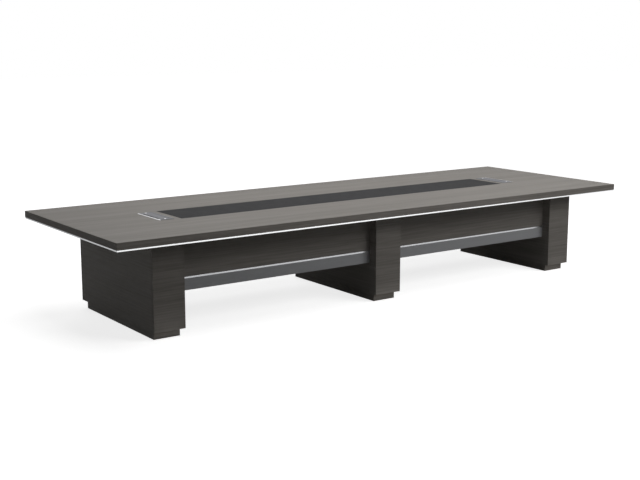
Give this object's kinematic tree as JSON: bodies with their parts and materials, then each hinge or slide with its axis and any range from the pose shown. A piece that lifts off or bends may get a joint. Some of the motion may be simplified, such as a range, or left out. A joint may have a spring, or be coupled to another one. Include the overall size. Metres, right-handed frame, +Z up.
{
  "type": "conference table",
  "caption": "Long rectangular wood-grain conference table on box pedestals, with modesty aprons, a flush dark inlay and flap-covered cable boxes in the top.",
  "frame": {"origin": "on the floor under the middle of the table", "axes": "+X along the length, +Y across the width away from the viewer, +Z up"},
  "size_m": [4.8, 1.6, 0.763],
  "materials": {
    "grey_oak": "matt wood-grain laminate, grey-brown",
    "charcoal": "matt charcoal laminate",
    "bright_aluminium": "bright polished",
    "satin_aluminium": "satin, fine brushed",
    "silver_grey": "silver-grey foil on board",
    "raw_board": "raw particle board",
    "black_steel": "black powder coat",
    "zinc_steel": "zinc plated",
    "black_plastic": "black moulded plastic"
  },
  "bodies": {
    "table": {"top_left": "grey_oak", "inlay_left": "charcoal", "top_right": "grey_oak", "inlay_right": "charcoal", "edge_trim_front": "bright_aluminium", "edge_trim_back": "bright_aluminium", "edge_trim_left": "bright_aluminium", "edge_trim_right": "bright_aluminium", "left_pedestal_left_panel": "grey_oak", "left_pedestal_right_panel": "grey_oak", "left_pedestal_front_panel": "grey_oak", "left_pedestal_back_panel": "grey_oak", "left_pedestal_plinth": "grey_oak", "left_pedestal_cap_board": "raw_board", "left_pedestal_base_board": "raw_board", "centre_pedestal_left_panel": "grey_oak", "centre_pedestal_right_panel": "grey_oak", "centre_pedestal_front_panel": "grey_oak", "centre_pedestal_back_panel": "grey_oak", "centre_pedestal_plinth": "grey_oak", "centre_pedestal_cap_board": "raw_board", "centre_pedestal_base_board": "raw_board", "right_pedestal_left_panel": "grey_oak", "right_pedestal_right_panel": "grey_oak", "right_pedestal_front_panel": "grey_oak", "right_pedestal_back_panel": "grey_oak", "right_pedestal_plinth": "grey_oak", "right_pedestal_cap_board": "raw_board", "right_pedestal_base_board": "raw_board", "apron_front_left_panel": "grey_oak", "apron_front_left_strip": "bright_aluminium", "apron_front_left_rail": "silver_grey", "apron_front_right_panel": "grey_oak", "apron_front_right_strip": "bright_aluminium", "apron_front_right_rail": "silver_grey", "apron_back_left_panel": "grey_oak", "apron_back_left_strip": "bright_aluminium", "apron_back_left_rail": "silver_grey", "apron_back_right_panel": "grey_oak", "apron_back_right_strip": "bright_aluminium", "apron_back_right_rail": "silver_grey", "left_box_bezel": "bright_aluminium", "left_box_hinge_pin": "zinc_steel", "left_box_tub": "black_steel", "left_box_socket_bar": "black_plastic", "right_box_bezel": "bright_aluminium", "right_box_hinge_pin": "zinc_steel", "right_box_tub": "black_steel", "right_box_socket_bar": "black_plastic"},
    "left_box_lid": {"left_box_lid": "satin_aluminium"},
    "right_box_lid": {"right_box_lid": "satin_aluminium"},
    "left_pedestal_front_foot": {"left_pedestal_front_foot": "zinc_steel"},
    "left_pedestal_back_foot": {"left_pedestal_back_foot": "zinc_steel"},
    "centre_pedestal_front_foot": {"centre_pedestal_front_foot": "zinc_steel"},
    "centre_pedestal_back_foot": {"centre_pedestal_back_foot": "zinc_steel"},
    "right_pedestal_front_foot": {"right_pedestal_front_foot": "zinc_steel"},
    "right_pedestal_back_foot": {"right_pedestal_back_foot": "zinc_steel"}
  },
  "joints": [
    {"name": "left_lid_hinge", "type": "hinge", "parent": "table", "child": "left_box_lid", "pos_m": [-1.6693, 0, 0.759], "axis": [0, 1, 0], "range_deg": [0, 95]},
    {"name": "right_lid_hinge", "type": "hinge", "parent": "table", "child": "right_box_lid", "pos_m": [1.6693, 0, 0.759], "axis": [0, -1, 0], "range_deg": [0, 95]},
    {"name": "left_front_foot_screw", "type": "slide", "parent": "table", "child": "left_pedestal_front_foot", "axis": [0, 0, -1], "range_m": [0, 0.012]},
    {"name": "left_back_foot_screw", "type": "slide", "parent": "table", "child": "left_pedestal_back_foot", "axis": [0, 0, -1], "range_m": [0, 0.012]},
    {"name": "centre_front_foot_screw", "type": "slide", "parent": "table", "child": "centre_pedestal_front_foot", "axis": [0, 0, -1], "range_m": [0, 0.012]},
    {"name": "centre_back_foot_screw", "type": "slide", "parent": "table", "child": "centre_pedestal_back_foot", "axis": [0, 0, -1], "range_m": [0, 0.012]},
    {"name": "right_front_foot_screw", "type": "slide", "parent": "table", "child": "right_pedestal_front_foot", "axis": [0, 0, -1], "range_m": [0, 0.012]},
    {"name": "right_back_foot_screw", "type": "slide", "parent": "table", "child": "right_pedestal_back_foot", "axis": [0, 0, -1], "range_m": [0, 0.012]}
  ]
}
